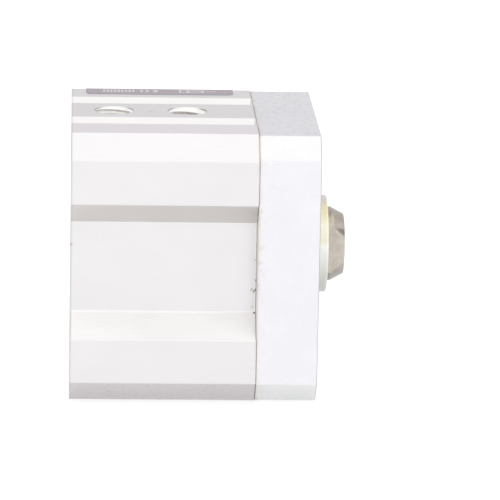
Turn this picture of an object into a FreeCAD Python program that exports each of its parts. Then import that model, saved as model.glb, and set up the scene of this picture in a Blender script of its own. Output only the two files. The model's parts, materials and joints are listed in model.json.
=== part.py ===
import FreeCAD, Part
import os
import re
import Sketcher

# Compact double-acting pneumatic cylinder, 20 mm bore and 5 mm stroke, with its rod drawn in.
# X runs along the rod and points out of it, and Z points up through the two air ports.
# The origin lies on the rod's axis, in the rear mounting face. All sizes are in millimetres.

DIMENSIONS = (
    # Drawn barrel
    ("side", 36.0, "square section of the barrel"),
    ("edge_chamfer", 3.1, "chamfer along the barrel's corners"),
    ("edge_round", 0.4, "rounding of the outer edges of barrel and plate"),
    ("edge_break", 0.1, "broken edges of sawn and turned faces"),
    ("lead_chamfer", 0.3, "chamfers that lead the turned and moulded pieces in"),
    ("bore", 20.0, "cylinder bore"),
    ("bore_lead", 0.5, "lead-in at both ends of the bore"),
    ("stroke", 5.0, "travel of the piston"),
    ("relief_mouth", 18.05, "width of the side reliefs at the face"),
    ("relief_floor", 12.0, "width of the side reliefs at the floor"),
    ("relief_depth", 3.6, "depth of the side reliefs"),
    ("corner_round", 0.12, "rounding of the reliefs' inner corners"),
    ("slot_offset", 6.8, "sensor slot from the port plane"),
    ("slot_mouth", 4.4, "flared mouth of the sensor slot"),
    ("slot_throat", 2.8, "narrowest width of the sensor slot"),
    ("slot_flare", 0.8, "depth of the flare"),
    ("slot_width", 5.2, "inner width of the sensor slot"),
    ("slot_lip", 1.4, "lip over the inner width"),
    ("slot_depth", 3.9, "depth of the sensor slot"),
    # Air ports
    ("port_thread", 5.0, "nominal thread of the air ports"),
    ("port_depth", 5.0, "depth of the port threads"),
    ("port_sink", 5.3, "countersink of the ports"),
    ("port_passage", 2.2, "air passage into the bore"),
    ("rear_port_place", 5.7, "rear port from the rear face"),
    ("front_port_place", 9.0, "front port back from the head joint"),
    # Corner threads and head screws
    ("corner_pitch", 22.0, "square pattern of the corner holes"),
    ("mount_thread", 5.0, "nominal mounting thread"),
    ("mount_sink", 0.25, "countersink depth of the mounting threads"),
    ("rear_thread_depth", 10.0, "depth of the rear mounting threads"),
    ("front_thread_depth", 5.2, "depth of the threads in the screw collars"),
    ("collar_diameter", 7.5, "collar of a head screw"),
    ("collar_length", 6.6, "length of the collar"),
    ("collar_gap", 0.05, "collar in its counterbore, all round"),
    ("shank_thread", 4.0, "nominal thread of the head screws"),
    ("shank_length", 9.0, "screw shank inside the barrel"),
    ("shank_spare", 1.0, "free thread below the shank"),
    ("shank_clear", 0.15, "shank in the plate's hole, all round"),
    ("collar_hex", 2.5, "hexagon socket in the collar"),
    ("collar_hex_depth", 1.8, "depth of that socket"),
    # Front head
    ("plate_thickness", 8.1, "plate of the front head"),
    ("plate_inset", 0.14, "plate inside the barrel's outline"),
    ("plate_chamfer", 2.85, "chamfer along the plate's corners"),
    ("spigot_length", 7.2, "spigot inside the bore"),
    ("spigot_lead", 0.6, "lead on the spigot and the rear cover"),
    ("static_gap", 0.02, "gap between fixed round pieces, all round"),
    ("head_gland_depth", 1.3, "gland of the head's ring seal"),
    ("head_gland_width", 1.8, "width of that gland"),
    ("head_gland_place", 1.6, "gland from the plate"),
    ("gland_web", 0.8, "web between the glands round the rod"),
    ("web_clear", 0.25, "web to rod, all round"),
    ("bush_outer", 12.0, "outer diameter of the rod bush"),
    ("bush_inset", 0.4, "bush below the spigot's end"),
    ("running_gap", 0.03, "rod in its bush and seals, all round"),
    ("seal_outer", 15.0, "outer diameter of the rod seal"),
    ("seal_width", 3.2, "width of the rod seal's groove"),
    ("seal_slack", 0.1, "seal to groove wall, lengthwise"),
    ("seal_lip", 0.8, "lip thickness of the rod seal"),
    ("seal_notch", 1.7, "depth between the lips"),
    ("wiper_outer", 13.1, "visible ring of the wiper"),
    ("wiper_projection", 1.87, "wiper in front of the plate"),
    ("wiper_round", 0.3, "rounded rim of the wiper"),
    ("wiper_mouth", 1.0, "depth of the plate's mouth round the wiper"),
    ("wiper_bead", 15.0, "snap-in bead of the wiper"),
    ("wiper_bead_width", 2.4, "groove of that bead"),
    ("wiper_hollow", 0.7, "hollow behind the wiper's lip"),
    ("wiper_lip", 0.7, "land of the wiper's lip"),
    # Rear cover
    ("circlip_place", 0.8, "retaining ring groove from the rear face"),
    ("circlip_groove", 21.0, "diameter of that groove"),
    ("circlip_groove_width", 1.1, "width of that groove"),
    ("circlip_thickness", 1.0, "thickness of the retaining ring"),
    ("circlip_inner", 17.0, "inner circle of the retaining ring"),
    ("circlip_shift", 0.5, "offset of that circle towards the gap"),
    ("circlip_gap", 4.4, "gap of the retaining ring"),
    ("lug_place", 7.7, "lugs above the axis"),
    ("lug_spread", 5.8, "distance between the lugs"),
    ("lug_diameter", 3.2, "lugs of the retaining ring"),
    ("lug_hole", 1.7, "plier holes in the lugs"),
    ("cover_thickness", 3.0, "rear cover"),
    ("cover_gland_depth", 1.15, "gland of the cover's ring seal"),
    ("cover_gland_width", 1.5, "width of that gland"),
    ("cover_gland_place", 0.5, "gland from the cover's outer face"),
    # Bumpers
    ("bumper_inner", 13.6, "inner diameter of the bumpers"),
    ("bumper_outer", 15.6, "outer diameter of the bumpers"),
    ("bumper_depth", 1.2, "groove of the bumpers"),
    ("bumper_lift", 0.3, "bumper proud of its face"),
    ("stop_gap", 0.05, "piston to bumper at both ends of the stroke"),
    # Piston
    ("piston_thickness", 6.8, "piston and retainer together"),
    ("piston_gap", 0.08, "piston in the bore, all round"),
    ("piston_step", 1.0, "length of the turned-down ends"),
    ("piston_step_depth", 0.9, "depth of the turned-down ends"),
    ("retainer_thickness", 1.3, "retainer in front of the magnet"),
    ("magnet_width", 1.4, "ring magnet"),
    ("magnet_inset", 0.4, "magnet below the bore, all round"),
    ("magnet_height", 2.0, "radial height of the magnet"),
    ("seal_land", 0.5, "land between seal and magnet"),
    ("piston_seal_width", 2.2, "groove of the piston seal"),
    ("piston_seal_height", 2.6, "depth of the seal's groove below the bore"),
    ("piston_seal_lip", 0.5, "width of the piston seal's lips"),
    ("piston_seal_hollow", 0.35, "hollow between those lips"),
    # Rod and its screw
    ("rod", 10.0, "rod diameter"),
    ("rod_projection", 4.2, "rod tip in front of the plate, drawn in"),
    ("rod_tip", 8.05, "end face of the rod, to its sharp corner"),
    ("tip_round", 0.25, "rounded rim of the rod's tip"),
    ("nose_length", 1.8, "tapered nose of the rod"),
    ("flat_width", 7.7, "across the wrench flats"),
    ("flat_length", 2.25, "length of the wrench flats"),
    ("rod_thread", 5.0, "nominal thread in the rod"),
    ("rod_thread_depth", 10.0, "depth of the rod's front thread"),
    ("rod_sink", 0.3, "countersink depth of the rod's thread"),
    ("rod_spigot", 7.0, "rod spigot in the piston"),
    ("rod_spigot_length", 3.6, "length of that spigot"),
    ("ring_section", 1.0, "section of the rod's ring seal"),
    ("screw_head", 9.6, "head of the piston screw"),
    ("screw_clear", 0.2, "piston screw in its hole, all round"),
    ("screw_reach", 6.5, "piston screw inside the rod"),
    ("screw_spare", 1.5, "free thread below the screw"),
    ("screw_hex", 3.0, "hexagon socket of the piston screw"),
    ("screw_hex_depth", 1.8, "depth of that socket"),
    # Label
    ("label_start", 2.0, "label from the rear face"),
    ("label_length", 20.1, "length of the label"),
    ("label_front", 11.1, "label's front edge from the port plane"),
    ("label_wrap", 3.5, "label on the rear chamfer"),
    ("label_thickness", 0.05, "thickness of the label"),
    ("label_round", 0.9, "corners of the label"),
)
ALIASES = {alias for alias, size, meaning in DIMENSIONS}

# Places along the rod's axis, from the rear face forward
COVER_REAR = "(circlip_place + circlip_thickness)"
COVER_FRONT = f"({COVER_REAR} + cover_thickness)"
PISTON_REAR = f"({COVER_FRONT} + bumper_lift + stop_gap)"
PISTON_FRONT = f"({PISTON_REAR} + piston_thickness)"
SPIGOT_END = f"({PISTON_FRONT} + stroke + stop_gap + bumper_lift)"
HEAD_REAR = f"({SPIGOT_END} + spigot_length)"
HEAD_FRONT = f"({HEAD_REAR} + plate_thickness)"
ROD_TIP = f"({HEAD_FRONT} + rod_projection)"

# Glands round the rod, from the front face back
WIPER_SHOULDER = f"({HEAD_FRONT} - wiper_mouth)"
WIPER_REAR = f"({WIPER_SHOULDER} - wiper_bead_width)"
SEAL_FRONT = f"({WIPER_REAR} - gland_web)"
SEAL_REAR = f"({SEAL_FRONT} - seal_width)"
BUSH_FRONT = f"({SEAL_REAR} - gland_web)"
BUSH_REAR = f"({SPIGOT_END} + bush_inset)"

# Stations of the piston, from its front face back
HUB_FRONT = f"({PISTON_FRONT} - retainer_thickness)"
MAGNET_REAR = f"({HUB_FRONT} - magnet_width)"
PISTON_SEAL_FRONT = f"({MAGNET_REAR} - seal_land)"
PISTON_SEAL_REAR = f"({PISTON_SEAL_FRONT} - piston_seal_width)"
ROD_REAR = f"({PISTON_FRONT} - rod_spigot_length)"

# Radii that several pieces share
BORE = "(bore / 2)"
PLUG = f"({BORE} - static_gap)"
LAND = f"({BORE} - piston_gap)"
HUB = f"({BORE} - magnet_inset - magnet_height)"
RUNNING = "(rod / 2 + running_gap)"

START, END, CENTRE = 1, 2, 3
ORIGIN = -1
SAME = 1e-6

doc = FreeCAD.newDocument("compact_cylinder")
sheet = doc.addObject("Spreadsheet::Sheet", "Dims")
for row, (alias, size, meaning) in enumerate(DIMENSIONS, start=1):
    sheet.set(f"A{row}", meaning)
    sheet.set(f"B{row}", str(size))
    sheet.setAlias(f"B{row}", alias)
doc.recompute()


def bound(text):
    """Point the dimension names in an expression at the sheet."""
    return re.sub(r"[a-z_]+", lambda word: f"Dims.{word[0]}" if word[0] in ALIASES else word[0], text)


def number(text):
    """Value of an expression at the present sizes."""
    return float(sheet.evalExpression(text))


def origin_feature(body, role):
    return next(item for item in body.Origin.OriginFeatures if item.Role == role)


def new_body(label):
    body = doc.addObject("PartDesign::Body", label)
    body.Label = label
    return body


def new_sketch(body, plane, height="0"):
    """Sketch on one of the body's planes, lifted by an expression."""
    sketch = body.newObject("Sketcher::SketchObject", f"{body.Label}_sketch")
    sketch.AttachmentSupport = (origin_feature(body, plane), [""])
    sketch.MapMode = "FlatFace"
    sketch.setExpression("AttachmentOffset.Base.z", bound(height))
    return sketch


def bind(sketch, kind, expression, *geometry):
    """Add a measured constraint that follows an expression."""
    index = sketch.addConstraint(Sketcher.Constraint(kind, *geometry, number(expression)))
    sketch.setExpression(f"Constraints[{index}]", bound(expression))


def pin(sketch, item, point, across, up):
    bind(sketch, "DistanceX", across, ORIGIN, START, item, point)
    bind(sketch, "DistanceY", up, ORIGIN, START, item, point)


def polygon(sketch, corners):
    """Closed outline through corners that are pairs of expressions."""
    places = [FreeCAD.Vector(number(across), number(up), 0) for across, up in corners]
    lines = [sketch.addGeometry(Part.LineSegment(here, there))
             for here, there in zip(places, places[1:] + places[:1])]
    for line, after, (across, up) in zip(lines, lines[1:] + lines[:1], corners):
        sketch.addConstraint(Sketcher.Constraint("Coincident", line, END, after, START))
        pin(sketch, line, START, across, up)


def circle(sketch, across, up, diameter):
    centre = FreeCAD.Vector(number(across), number(up), 0)
    ring = sketch.addGeometry(Part.Circle(centre, FreeCAD.Vector(0, 0, 1), number(diameter) / 2))
    pin(sketch, ring, CENTRE, across, up)
    bind(sketch, "Diameter", diameter, ring)


def hexagon(sketch, across, up, flats):
    """Hexagon with two corners on the vertical through its centre."""
    corner = f"{flats} / sqrt(3)"
    polygon(sketch, [
        (f"{across} + {flats} / 2", f"{up} + {corner} / 2"),
        (f"{across}", f"{up} + {corner}"),
        (f"{across} - {flats} / 2", f"{up} + {corner} / 2"),
        (f"{across} - {flats} / 2", f"{up} - {corner} / 2"),
        (f"{across}", f"{up} - {corner}"),
        (f"{across} + {flats} / 2", f"{up} - {corner} / 2"),
    ])


def cut_square(half, flat):
    """Corners of a square of a half width, cut to sides of a half length."""
    return [
        (half, f"-{flat}"), (half, flat), (flat, half), (f"-{flat}", half),
        (f"-{half}", flat), (f"-{half}", f"-{flat}"), (f"-{flat}", f"-{half}"), (flat, f"-{half}"),
    ]


def feature(body, kind, sketch, **settings):
    """Add a sketch-based feature and let its length follow an expression."""
    item = body.newObject(f"PartDesign::{kind}", f"{body.Label}_{kind.lower()}")
    item.Profile = sketch
    for name, setting in settings.items():
        if name == "Length":
            item.setExpression("Length", bound(setting))
        else:
            setattr(item, name, setting)
    doc.recompute()
    return item


def turned(body, corners, kind="Revolution"):
    """Turn an outline of pairs, station along X and radius, about the rod's axis."""
    sketch = new_sketch(body, "XZ_Plane")
    polygon(sketch, corners)
    return feature(body, kind, sketch, ReferenceAxis=(sketch, ["H_Axis"]), Angle=360)


def round_the_axis(body, originals, angle, count):
    """Repeat features about the rod's axis."""
    pattern = body.newObject("PartDesign::PolarPattern", f"{body.Label}_ring")
    pattern.Originals = originals
    pattern.Axis = (origin_feature(body, "X_Axis"), [""])
    pattern.Angle = angle
    pattern.Occurrences = count
    body.Tip = pattern
    doc.recompute()
    return pattern


def mirrored(body, original):
    """Repeat a feature on the other side of the port plane."""
    mirror = body.newObject("PartDesign::Mirrored", f"{body.Label}_mirror")
    mirror.Originals = [original]
    mirror.MirrorPlane = (origin_feature(body, "XZ_Plane"), [""])
    body.Tip = mirror
    doc.recompute()
    return mirror


def edge_names(shape, chosen):
    """Names of the edges that a test accepts."""
    return [f"Edge{index}" for index, edge in enumerate(shape.Edges, start=1) if chosen(edge)]


def dress(body, kind, size, chosen):
    """Fillet or chamfer the chosen edges of what the body is so far."""
    base = body.Tip
    item = body.newObject(f"PartDesign::{kind}", f"{body.Label}_{kind.lower()}")
    item.Base = (base, edge_names(base.Shape, chosen))
    item.setExpression("Radius" if kind == "Fillet" else "Size", bound(size))
    body.Tip = item
    doc.recompute()
    return item


def runs_along(edge):
    """True for a straight edge along X."""
    first, last = edge.Vertexes[0].Point, edge.Vertexes[-1].Point
    return abs(last.x - first.x) > 0.999 * edge.Length


def passes(edge, across, up):
    """True for an edge along X that passes a point of the section."""
    point = edge.Vertexes[0].Point
    return runs_along(edge) and max(abs(point.y - across), abs(point.z - up)) < SAME


def reaches(edge, level):
    """True for an edge along X in one of the four planes at a level from the axis, and beyond none."""
    point = edge.Vertexes[0].Point
    return runs_along(edge) and abs(max(abs(point.y), abs(point.z)) - level) < SAME


def lies_at(edge, station):
    """True for an edge in the plane across X at a station."""
    box = edge.BoundBox
    return max(abs(box.XMin - station), abs(box.XMax - station)) < SAME


def break_ends(body, rear, front):
    """Break the outline of both end faces of a prism along X."""
    ends = (number(rear), number(front))
    dress(body, "Chamfer", "edge_break", lambda edge: any(lies_at(edge, end) for end in ends))


def ring_seal(label, station, inner, depth):
    """Ring seal pressed to an eight-sided section in a gland of the given floor radius and depth."""
    reach = f"({depth} / 2 - static_gap)"
    flat = f"({reach} * tan(22.5))"
    middle = f"({inner} + {depth} / 2)"
    section = cut_square(reach, flat)
    turned(new_body(label), [(f"{station} + {along}", f"{middle} + {out}") for along, out in section])


def corner_holes(body, place, diameter, depth, inward):
    """Four holes on the corner pattern, drilled from a face across X."""
    sketch = new_sketch(body, "YZ_Plane", place)
    circle(sketch, "corner_pitch / 2", "corner_pitch / 2", diameter)
    hole = feature(body, "Pocket", sketch, Length=depth, Reversed=inward)
    round_the_axis(body, [hole], 360, 4)


def make_barrel():
    """Drawn barrel with reliefs on three sides, and slots and ports on top."""
    body = new_body("barrel")
    section = new_sketch(body, "YZ_Plane")
    polygon(section, cut_square("side / 2", "(side / 2 - edge_chamfer)"))
    feature(body, "Pad", section, Length=HEAD_REAR)

    relief = new_sketch(body, "YZ_Plane")
    polygon(relief, [
        ("-side / 2", "-relief_mouth / 2"), ("-side / 2", "relief_mouth / 2"),
        ("-side / 2 + relief_depth", "relief_floor / 2"),
        ("-side / 2 + relief_depth", "-relief_floor / 2"),
    ])
    cut = feature(body, "Pocket", relief, Type="ThroughAll", Reversed=True)
    round_the_axis(body, [cut], 180, 3)
    face = number("side / 2")
    floor = number("side / 2 - relief_depth")
    dress(body, "Fillet", "corner_round", lambda edge: reaches(edge, floor))
    dress(body, "Fillet", "edge_round", lambda edge: reaches(edge, face))
    break_ends(body, "0", HEAD_REAR)

    slot = new_sketch(body, "YZ_Plane")
    half_outline = [
        ("slot_mouth / 2", "side / 2"),
        ("slot_throat / 2", "side / 2 - slot_flare"),
        ("slot_throat / 2", "side / 2 - slot_lip"),
        ("slot_width / 2", "side / 2 - slot_lip"),
        ("slot_width / 2", "side / 2 - slot_depth"),
    ]
    right = [(f"slot_offset + {across}", up) for across, up in half_outline]
    left = [(f"slot_offset - {across}", up) for across, up in reversed(half_outline)]
    polygon(slot, right + left)
    mirrored(body, feature(body, "Pocket", slot, Type="ThroughAll", Reversed=True))

    turned(body, [
        ("0", "0"), ("0", f"{BORE} + bore_lead"), ("bore_lead", BORE),
        ("circlip_place", BORE), ("circlip_place", "circlip_groove / 2"),
        ("circlip_place + circlip_groove_width", "circlip_groove / 2"),
        ("circlip_place + circlip_groove_width", BORE),
        (f"{HEAD_REAR} - bore_lead", BORE), (HEAD_REAR, f"{BORE} + bore_lead"), (HEAD_REAR, "0"),
    ], "Groove")

    port = new_sketch(body, "XZ_Plane")
    axis = port.addGeometry(Part.LineSegment(
        FreeCAD.Vector(number("rear_port_place"), 0, 0),
        FreeCAD.Vector(number("rear_port_place"), number("side / 2"), 0)), True)
    pin(port, axis, START, "rear_port_place", "0")
    pin(port, axis, END, "rear_port_place", "side / 2")
    polygon(port, [(f"rear_port_place + {radius}", up) for radius, up in [
        ("0", "bore / 4"), ("port_passage / 2", "bore / 4"),
        ("port_passage / 2", "side / 2 - port_depth"),
        ("port_thread / 2", "side / 2 - port_depth"),
        ("port_thread / 2", "side / 2 - (port_sink - port_thread) / 2"),
        ("port_sink / 2", "side / 2"), ("0", "side / 2"),
    ]])
    drilled = feature(body, "Groove", port, ReferenceAxis=(port, ["Axis0"]), Angle=360)
    pair = body.newObject("PartDesign::LinearPattern", "barrel_port_pair")
    pair.Originals = [drilled]
    pair.Direction = (origin_feature(body, "X_Axis"), [""])
    pair.setExpression("Length", bound(f"{HEAD_REAR} - front_port_place - rear_port_place"))
    pair.Occurrences = 2
    body.Tip = pair
    doc.recompute()

    corner_holes(body, "0", "mount_thread", "rear_thread_depth", True)
    corner_holes(body, HEAD_REAR, "shank_thread", "shank_length + shank_spare", False)


def make_front_head():
    """Head with its plate, the spigot in the bore and the glands round the rod."""
    body = new_body("front_head")
    plate = new_sketch(body, "YZ_Plane", HEAD_REAR)
    polygon(plate, cut_square("(side / 2 - plate_inset)", "(side / 2 - plate_inset - plate_chamfer)"))
    feature(body, "Pad", plate, Length="plate_thickness")
    dress(body, "Fillet", "edge_round", runs_along)
    break_ends(body, HEAD_REAR, HEAD_FRONT)

    gland_front = f"({HEAD_REAR} - head_gland_place)"
    gland_rear = f"({gland_front} - head_gland_width)"
    turned(body, [
        (SPIGOT_END, "0"), (SPIGOT_END, f"{PLUG} - spigot_lead"), (f"{SPIGOT_END} + spigot_lead", PLUG),
        (gland_rear, PLUG), (gland_rear, f"{BORE} - head_gland_depth"),
        (gland_front, f"{BORE} - head_gland_depth"), (gland_front, PLUG),
        (f"{HEAD_REAR} + plate_thickness / 2", PLUG), (f"{HEAD_REAR} + plate_thickness / 2", "0"),
    ])
    web = "(rod / 2 + web_clear)"
    turned(body, [
        (SPIGOT_END, "0"), (SPIGOT_END, "bush_outer / 2"), (BUSH_FRONT, "bush_outer / 2"),
        (BUSH_FRONT, web), (SEAL_REAR, web), (SEAL_REAR, "seal_outer / 2"),
        (SEAL_FRONT, "seal_outer / 2"), (SEAL_FRONT, web), (WIPER_REAR, web),
        (WIPER_REAR, "wiper_bead / 2"), (WIPER_SHOULDER, "wiper_bead / 2"),
        (WIPER_SHOULDER, "wiper_outer / 2 + static_gap"), (HEAD_FRONT, "wiper_outer / 2 + static_gap"),
        (HEAD_FRONT, "0"),
    ], "Groove")
    turned(body, [
        (SPIGOT_END, "bumper_inner / 2"), (SPIGOT_END, "bumper_outer / 2"),
        (f"{SPIGOT_END} + bumper_depth", "bumper_outer / 2"),
        (f"{SPIGOT_END} + bumper_depth", "bumper_inner / 2"),
    ], "Groove")
    corner_holes(body, HEAD_FRONT, "collar_diameter + 2 * collar_gap", "collar_length", False)
    corner_holes(body, HEAD_FRONT, "shank_thread + 2 * shank_clear", "plate_thickness", False)


def make_head_screws():
    """Four collar screws that hold the head and carry the front mounting threads."""
    body = new_body("head_screws")
    sketch = new_sketch(body, "XZ_Plane", "-corner_pitch / 2")
    axis = sketch.addGeometry(Part.LineSegment(
        FreeCAD.Vector(0, number("corner_pitch / 2"), 0),
        FreeCAD.Vector(number(HEAD_FRONT), number("corner_pitch / 2"), 0)), True)
    pin(sketch, axis, START, "0", "corner_pitch / 2")
    pin(sketch, axis, END, HEAD_FRONT, "corner_pitch / 2")
    shoulder = f"({HEAD_FRONT} - collar_length)"
    tip = f"({HEAD_REAR} - shank_length)"
    floor = f"({HEAD_FRONT} - front_thread_depth)"
    shank = "(shank_thread / 2 - static_gap)"
    polygon(sketch, [(along, f"corner_pitch / 2 + {radius}") for along, radius in [
        (tip, "0"), (tip, f"{shank} - lead_chamfer"), (f"{tip} + lead_chamfer", shank),
        (shoulder, shank), (shoulder, "collar_diameter / 2"),
        (f"{HEAD_FRONT} - edge_break", "collar_diameter / 2"),
        (HEAD_FRONT, "collar_diameter / 2 - edge_break"), (HEAD_FRONT, "mount_thread / 2 + mount_sink"),
        (f"{HEAD_FRONT} - mount_sink", "mount_thread / 2"), (floor, "mount_thread / 2"), (floor, "0"),
    ]])
    screw = feature(body, "Revolution", sketch, ReferenceAxis=(sketch, ["Axis0"]), Angle=360)
    socket = new_sketch(body, "YZ_Plane", floor)
    hexagon(socket, "corner_pitch / 2", "corner_pitch / 2", "collar_hex")
    key = feature(body, "Pocket", socket, Length="collar_hex_depth")
    round_the_axis(body, [screw, key], 360, 4)


def make_rod_gland():
    """Bush, lip seal and wiper that the rod runs in."""
    turned(new_body("rod_bush"), [
        (BUSH_REAR, f"{RUNNING} + edge_break"), (f"{BUSH_REAR} + edge_break", RUNNING),
        (f"{BUSH_FRONT} - edge_break", RUNNING), (BUSH_FRONT, f"{RUNNING} + edge_break"),
        (BUSH_FRONT, "bush_outer / 2 - static_gap"), (BUSH_REAR, "bush_outer / 2 - static_gap"),
    ])

    rear = f"({SEAL_REAR} + seal_slack)"
    front = f"({SEAL_FRONT} - seal_slack)"
    outer = "(seal_outer / 2 - static_gap)"
    turned(new_body("rod_seal"), [
        (rear, RUNNING), (rear, f"{RUNNING} + seal_lip"),
        (f"{rear} + seal_notch", f"({RUNNING} + {outer}) / 2"), (rear, f"{outer} - seal_lip"),
        (rear, outer), (front, outer), (front, "rod / 2 + web_clear"),
        (f"{rear} + seal_notch", "rod / 2 + web_clear"), (f"{rear} + seal_lip", RUNNING),
    ])

    wiper = new_body("rod_wiper")
    back = f"({WIPER_REAR} + seal_slack)"
    tip = f"({HEAD_FRONT} + wiper_projection)"
    turned(wiper, [
        (back, f"{RUNNING} + wiper_hollow"), (back, "wiper_bead / 2 - static_gap"),
        (f"{WIPER_SHOULDER} - static_gap", "wiper_bead / 2 - static_gap"),
        (f"{WIPER_SHOULDER} - static_gap", "wiper_outer / 2"), (tip, "wiper_outer / 2"),
        (tip, f"{RUNNING} + edge_break"), (f"{tip} - edge_break", RUNNING),
        (f"{tip} - wiper_lip", RUNNING),
    ])
    rim = number("wiper_outer / 2")
    front_face = number(tip)
    dress(wiper, "Fillet", "wiper_round",
          lambda edge: lies_at(edge, front_face) and abs(edge.Curve.Radius - rim) < SAME)


def make_rear_cover():
    """Plug that closes the bore at the rear."""
    gland_rear = f"({COVER_REAR} + cover_gland_place)"
    gland_front = f"({gland_rear} + cover_gland_width)"
    turned(new_body("rear_cover"), [
        (COVER_REAR, "0"), (COVER_REAR, f"{PLUG} - lead_chamfer"), (f"{COVER_REAR} + lead_chamfer", PLUG),
        (gland_rear, PLUG), (gland_rear, f"{BORE} - cover_gland_depth"),
        (gland_front, f"{BORE} - cover_gland_depth"), (gland_front, PLUG),
        (f"{COVER_FRONT} - spigot_lead", PLUG), (COVER_FRONT, f"{PLUG} - spigot_lead"),
        (COVER_FRONT, "bumper_outer / 2"), (f"{COVER_FRONT} - bumper_depth", "bumper_outer / 2"),
        (f"{COVER_FRONT} - bumper_depth", "bumper_inner / 2"), (COVER_FRONT, "bumper_inner / 2"),
        (COVER_FRONT, "0"),
    ])


def make_rear_circlip():
    """Retaining ring with plier holes, sprung into its groove."""
    body = new_body("rear_circlip")
    ring = new_sketch(body, "YZ_Plane", "circlip_place")
    circle(ring, "0", "0", "circlip_groove - 2 * static_gap")
    circle(ring, "0", "circlip_shift", "circlip_inner")
    feature(body, "Pad", ring, Length="circlip_thickness")
    gap = new_sketch(body, "YZ_Plane", "circlip_place")
    polygon(gap, [
        ("-circlip_gap / 2", "0"), ("circlip_gap / 2", "0"),
        ("circlip_gap / 2", "circlip_groove / 2"), ("-circlip_gap / 2", "circlip_groove / 2"),
    ])
    feature(body, "Pocket", gap, Length="circlip_thickness", Reversed=True)
    lugs = new_sketch(body, "YZ_Plane", "circlip_place")
    holes = new_sketch(body, "YZ_Plane", "circlip_place")
    for sign in ("", "-"):
        circle(lugs, f"{sign}lug_spread / 2", "lug_place", "lug_diameter")
        circle(holes, f"{sign}lug_spread / 2", "lug_place", "lug_hole")
    feature(body, "Pad", lugs, Length="circlip_thickness")
    feature(body, "Pocket", holes, Length="circlip_thickness", Reversed=True)


def make_bumpers():
    """Elastic stops in the rear cover and in the spigot's end."""
    inner = "(bumper_inner / 2 + stop_gap)"
    outer = "(bumper_outer / 2 - stop_gap)"
    stations = {
        "rear_bumper": (f"({COVER_FRONT} - bumper_depth)", f"({COVER_FRONT} + bumper_lift)", "-"),
        "front_bumper": (f"({SPIGOT_END} + bumper_depth)", f"({SPIGOT_END} - bumper_lift)", "+"),
    }
    for label, (seat, stop, back) in stations.items():
        turned(new_body(label), [
            (seat, inner), (seat, outer), (f"{stop} {back} lead_chamfer", outer),
            (stop, f"{outer} - lead_chamfer"), (stop, f"{inner} + lead_chamfer"),
            (f"{stop} {back} lead_chamfer", inner),
        ])


def make_piston():
    """Piston, its seal, the ring magnet and the retainer in front of it."""
    hole = "(rod_spigot / 2 + static_gap)"
    screw_hole = "(rod_thread / 2 + screw_clear)"
    step = f"({LAND} - piston_step_depth)"
    floor = f"({BORE} - piston_seal_height)"
    turned(new_body("piston"), [
        (PISTON_REAR, "screw_head / 2"), (f"{PISTON_REAR} + screw_head / 2 - {screw_hole}", screw_hole),
        (ROD_REAR, screw_hole), (ROD_REAR, hole), (f"{HUB_FRONT} - ring_section", hole),
        (f"{HUB_FRONT} - ring_section", f"{hole} + ring_section"),
        (HUB_FRONT, f"{hole} + ring_section"), (HUB_FRONT, HUB), (MAGNET_REAR, HUB),
        (MAGNET_REAR, LAND), (PISTON_SEAL_FRONT, LAND), (PISTON_SEAL_FRONT, floor),
        (PISTON_SEAL_REAR, floor), (PISTON_SEAL_REAR, LAND), (f"{PISTON_REAR} + piston_step", LAND),
        (f"{PISTON_REAR} + piston_step", step), (PISTON_REAR, step),
    ])
    turned(new_body("piston_retainer"), [
        (HUB_FRONT, hole), (HUB_FRONT, LAND), (f"{PISTON_FRONT} - piston_step", LAND),
        (f"{PISTON_FRONT} - piston_step", step), (PISTON_FRONT, step), (PISTON_FRONT, hole),
    ])
    turned(new_body("piston_magnet"), [
        (MAGNET_REAR, f"{HUB} + static_gap"), (HUB_FRONT, f"{HUB} + static_gap"),
        (HUB_FRONT, f"{BORE} - magnet_inset"), (MAGNET_REAR, f"{BORE} - magnet_inset"),
    ])

    rear = f"({PISTON_SEAL_REAR} + seal_slack)"
    front = f"({PISTON_SEAL_FRONT} - seal_slack)"
    lip = f"({BORE} - running_gap)"
    turned(new_body("piston_seal"), [
        (rear, f"{floor} + running_gap"), (rear, lip), (f"{rear} + piston_seal_lip", lip),
        (f"({rear} + {front}) / 2", f"{lip} - piston_seal_hollow"),
        (f"{front} - piston_seal_lip", lip), (front, lip), (front, f"{floor} + running_gap"),
    ])


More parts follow.
